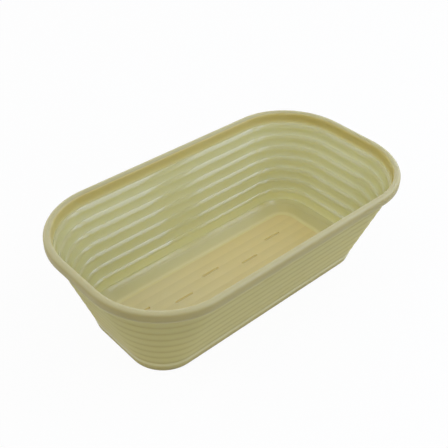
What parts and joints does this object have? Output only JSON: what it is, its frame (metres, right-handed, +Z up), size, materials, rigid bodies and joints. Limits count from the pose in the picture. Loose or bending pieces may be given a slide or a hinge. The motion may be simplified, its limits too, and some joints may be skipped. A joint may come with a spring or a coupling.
{
  "type": "proofing basket",
  "caption": "Rectangular moulded proofing basket with a rounded rim, stepped coil-like ribs inside and a vented floor, for holding bread dough while it rises.",
  "frame": {"origin": "middle of the basket's footprint, on the plane it stands on", "axes": "+X along the basket's length, +Y across its width, +Z up out of its mouth"},
  "size_m": [0.28, 0.153, 0.085],
  "materials": {
    "cream_plastic": "glossy moulded plastic, cream yellow, translucent where it is thin"
  },
  "bodies": {
    "root": {"rim": "cream_plastic", "ribbed_wall": "cream_plastic", "floor_pan": "cream_plastic"}
  },
  "joints": []
}
